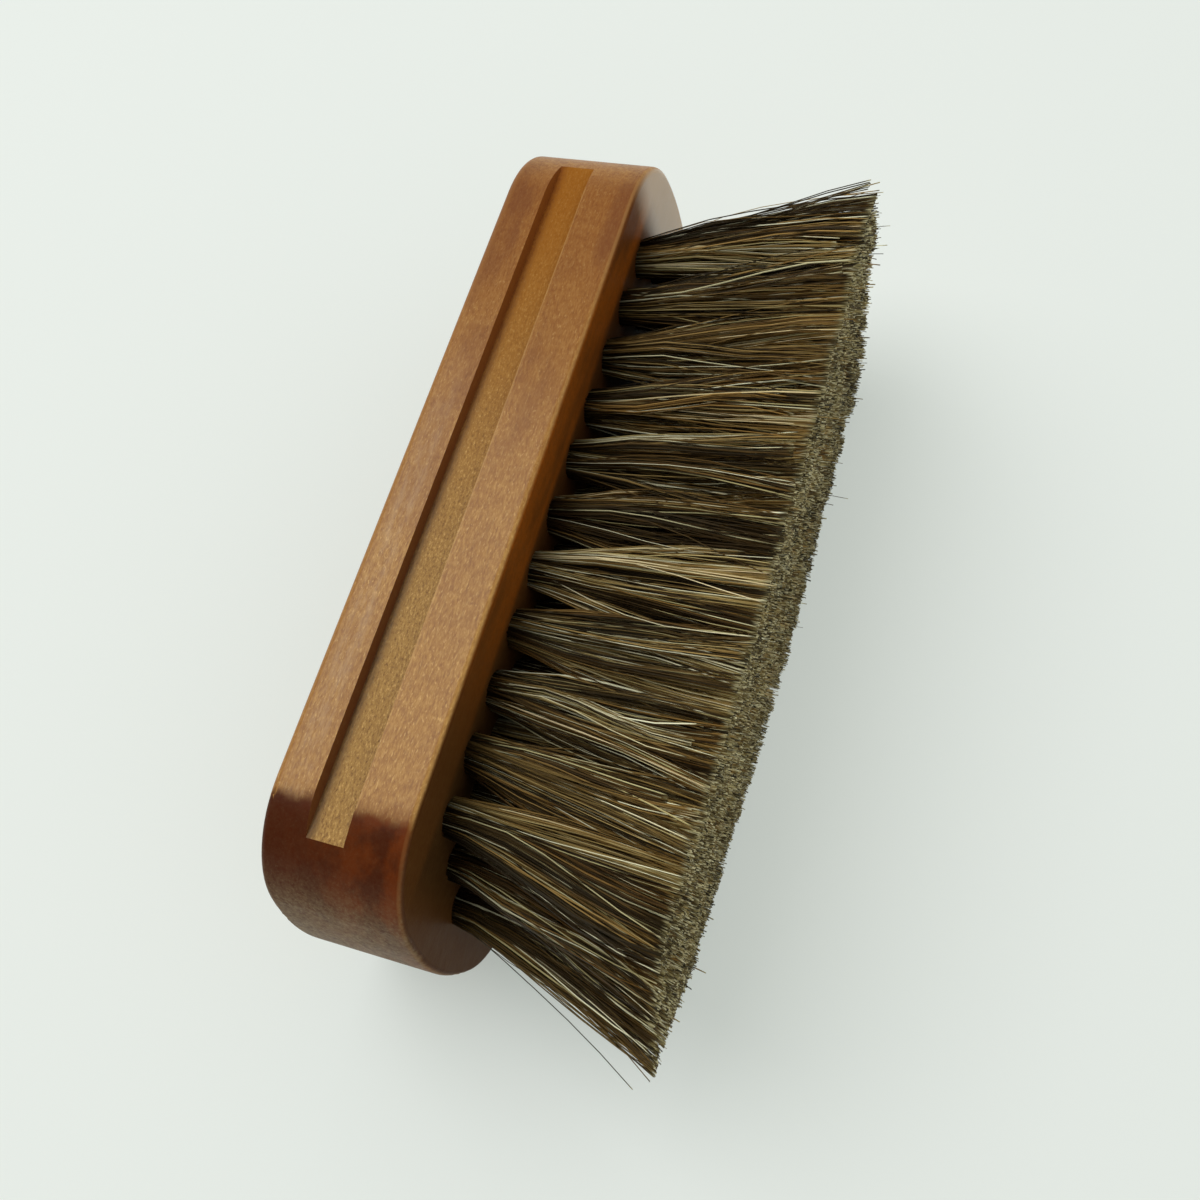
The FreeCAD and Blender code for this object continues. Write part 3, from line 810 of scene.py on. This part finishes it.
def floor_material():
    floor = Material("floor")
    floor.set("Base Color", FLOOR_COLOUR)
    floor.set("Roughness", 0.7)
    floor.set("Specular IOR Level", 0.0)
    # Seen directly or in a gloss, the floor keeps only part of the shadow on it.
    rays = floor.add("ShaderNodeLightPath")
    seen = floor.math("MAXIMUM", rays.outputs["Is Camera Ray"], rays.outputs["Is Glossy Ray"])
    seen = floor.math("MAXIMUM", seen, rays.outputs["Is Transmission Ray"])
    glow = floor.add("ShaderNodeEmission")
    floor.feed(glow.inputs["Color"], FLOOR_GLOW)
    blend = floor.add("ShaderNodeMixShader")
    floor.link(floor.times(seen, FLOOR_GLOW_SHARE), blend.inputs["Fac"])
    floor.link(floor.shader.outputs["BSDF"], blend.inputs[1])
    floor.link(glow.outputs["Emission"], blend.inputs[2])
    floor.link(blend.outputs["Shader"], floor.tree.nodes["Material Output"].inputs["Surface"])
    return floor.owner


def add_floor():
    mesh = bpy.data.meshes.new("floor")
    half = FLOOR_SIZE / 2
    corners = [(-half, -half, 0), (half, -half, 0), (half, half, 0), (-half, half, 0)]
    mesh.from_pydata(corners, [], [(0, 1, 2, 3)])
    mesh.materials.append(floor_material())
    floor = bpy.data.objects.new("floor", mesh)
    bpy.context.scene.collection.objects.link(floor)


def add_lamp():
    data = bpy.data.lights.new("key", "AREA")
    data.size = KEY_SIZE
    data.energy = KEY_POWER
    key = bpy.data.objects.new("key", data)
    bpy.context.scene.collection.objects.link(key)
    key.location = KEY_PLACE
    key.rotation_mode = "QUATERNION"
    key.rotation_quaternion = (-KEY_PLACE).to_track_quat("-Z", "Y")


def add_room():
    room = Nodes(bpy.data.worlds.new("studio"))
    direction = room.add("ShaderNodeTexCoord").outputs["Generated"]
    towards = room.add("ShaderNodeVectorMath", operation="DOT_PRODUCT")
    towards.inputs[1].default_value = DIM_DIRECTION.normalized()
    room.link(direction, towards.inputs[0])
    wide, core = (math.cos(math.radians(angle)) for angle in (DIM_WIDE_DEGREES, DIM_CORE_DEGREES))
    dim = room.step(towards.outputs["Value"], low=wide, high=core)
    # The dim part stays above the horizon.
    height = room.separate(direction)[2]
    dim = room.times(dim, room.step(height, low=DIM_FROM_HEIGHT, high=DIM_TO_HEIGHT))
    background = room.tree.nodes["Background"]
    room.feed(background.inputs["Color"], ROOM_COLOUR)
    strength = room.scaled(dim, scale=ROOM_STRENGTH * (DIM_SHARE - 1), start=ROOM_STRENGTH)
    room.link(strength, background.inputs["Strength"])
    bpy.context.scene.world = room.owner


add_camera()
dress(BLOCK, wood_material())
dress(ANCHORS, anchor_material())
add_hair()
add_floor()
add_lamp()
add_room()
bpy.context.scene.view_settings.view_transform = "Standard"
